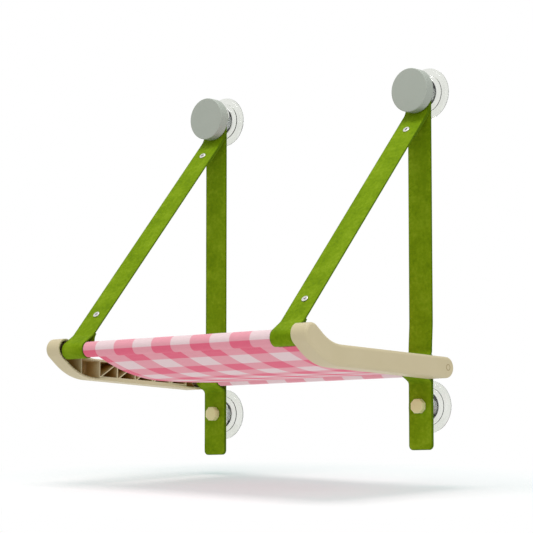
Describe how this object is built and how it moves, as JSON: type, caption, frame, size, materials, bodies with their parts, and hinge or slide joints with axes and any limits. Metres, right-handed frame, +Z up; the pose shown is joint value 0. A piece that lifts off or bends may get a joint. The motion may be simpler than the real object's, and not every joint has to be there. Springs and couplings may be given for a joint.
{
  "type": "window mounted cat perch",
  "caption": "Pet perch for a window: a fabric sling on rods and side rails, hung by straps from suction cups with clamp knobs.",
  "frame": {"origin": "on the glass, in the middle of the suction cups", "axes": "+X along the rods, +Y into the window, +Z up"},
  "size_m": [0.4652, 0.3186, 0.516],
  "materials": {
    "strap": "mottled green coated webbing with sealed darker edges",
    "rail_plastic": "moulded, fine matt grain",
    "knob_plastic": "moulded, fine matt grain",
    "nut_plastic": "moulded, satin",
    "plug_plastic": "moulded",
    "cup_plastic": "clear soft plastic, glossy",
    "rod_steel": "drawn tube, zinc plated",
    "stud_steel": "zinc plated",
    "screw_steel": "bright nickel plate",
    "insert_brass": "turned",
    "sling_cloth": "woven cotton gingham check, pink and white"
  },
  "bodies": {
    "root": {"upper_left_cup": "cup_plastic", "upper_left_stud": "stud_steel", "lower_left_cup": "cup_plastic", "lower_left_stud": "stud_steel", "left_vertical_strap": "strap", "left_strap_backing": "strap", "left_diagonal_strap": "strap", "upper_left_binding_screw": "screw_steel", "upper_left_binding_post": "screw_steel", "lower_left_binding_screw": "screw_steel", "lower_left_binding_post": "screw_steel", "upper_right_cup": "cup_plastic", "upper_right_stud": "stud_steel", "lower_right_cup": "cup_plastic", "lower_right_stud": "stud_steel", "right_vertical_strap": "strap", "right_strap_backing": "strap", "right_diagonal_strap": "strap", "upper_right_binding_screw": "screw_steel", "upper_right_binding_post": "screw_steel", "lower_right_binding_screw": "screw_steel", "lower_right_binding_post": "screw_steel"},
    "bed": {"left_side_rail": "rail_plastic", "left_rod_plug": "plug_plastic", "left_rod_screw": "stud_steel", "left_screw_cap": "rail_plastic", "right_side_rail": "rail_plastic", "right_rod_plug": "plug_plastic", "right_rod_screw": "stud_steel", "right_screw_cap": "rail_plastic", "front_rod": "rod_steel", "rear_rod": "rod_steel", "sling": "sling_cloth"},
    "upper_left_washer_body": {"upper_left_washer": "stud_steel"},
    "upper_left_knob_body": {"upper_left_knob": "knob_plastic", "upper_left_knob_insert": "insert_brass"},
    "lower_left_washer_body": {"lower_left_washer": "stud_steel"},
    "lower_left_nut_body": {"lower_left_nut": "nut_plastic", "lower_left_nut_insert": "insert_brass"},
    "upper_right_washer_body": {"upper_right_washer": "stud_steel"},
    "upper_right_knob_body": {"upper_right_knob": "knob_plastic", "upper_right_knob_insert": "insert_brass"},
    "lower_right_washer_body": {"lower_right_washer": "stud_steel"},
    "lower_right_nut_body": {"lower_right_nut": "nut_plastic", "lower_right_nut_insert": "insert_brass"}
  },
  "joints": [
    {"name": "bed_fold", "type": "hinge", "parent": "root", "child": "bed", "pos_m": [0, -0.0301, -0.1623], "axis": [-1, 0, 0], "range_deg": [0, 70], "deforming": ["left_diagonal_strap", "lower_left_binding_screw", "lower_left_binding_post", "right_diagonal_strap", "lower_right_binding_screw", "lower_right_binding_post"]},
    {"name": "upper_left_knob_travel", "type": "slide", "parent": "root", "child": "upper_left_washer_body", "axis": [0, -1, 0], "range_m": [0, 0.005]},
    {"name": "upper_left_knob_turn", "type": "hinge", "parent": "upper_left_washer_body", "child": "upper_left_knob_body", "pos_m": [-0.181, 0, 0.2115], "axis": [0, -1, 0], "range_deg": [0, 1800]},
    {"name": "lower_left_nut_travel", "type": "slide", "parent": "root", "child": "lower_left_washer_body", "axis": [0, -1, 0], "range_m": [0, 0.003]},
    {"name": "lower_left_nut_turn", "type": "hinge", "parent": "lower_left_washer_body", "child": "lower_left_nut_body", "pos_m": [-0.181, 0, -0.2115], "axis": [0, -1, 0], "range_deg": [0, 1080]},
    {"name": "upper_right_knob_travel", "type": "slide", "parent": "root", "child": "upper_right_washer_body", "axis": [0, -1, 0], "range_m": [0, 0.005]},
    {"name": "upper_right_knob_turn", "type": "hinge", "parent": "upper_right_washer_body", "child": "upper_right_knob_body", "pos_m": [0.181, 0, 0.2115], "axis": [0, -1, 0], "range_deg": [0, 1800]},
    {"name": "lower_right_nut_travel", "type": "slide", "parent": "root", "child": "lower_right_washer_body", "axis": [0, -1, 0], "range_m": [0, 0.003]},
    {"name": "lower_right_nut_turn", "type": "hinge", "parent": "lower_right_washer_body", "child": "lower_right_nut_body", "pos_m": [0.181, 0, -0.2115], "axis": [0, -1, 0], "range_deg": [0, 1080]}
  ],
  "couplings": [
    {"joint": "upper_left_knob_travel", "follows": "upper_left_knob_turn", "m_per_rad": 0.00015915},
    {"joint": "lower_left_nut_travel", "follows": "lower_left_nut_turn", "m_per_rad": 0.00015915},
    {"joint": "upper_right_knob_travel", "follows": "upper_right_knob_turn", "m_per_rad": 0.00015915},
    {"joint": "lower_right_nut_travel", "follows": "lower_right_nut_turn", "m_per_rad": 0.00015915}
  ]
}
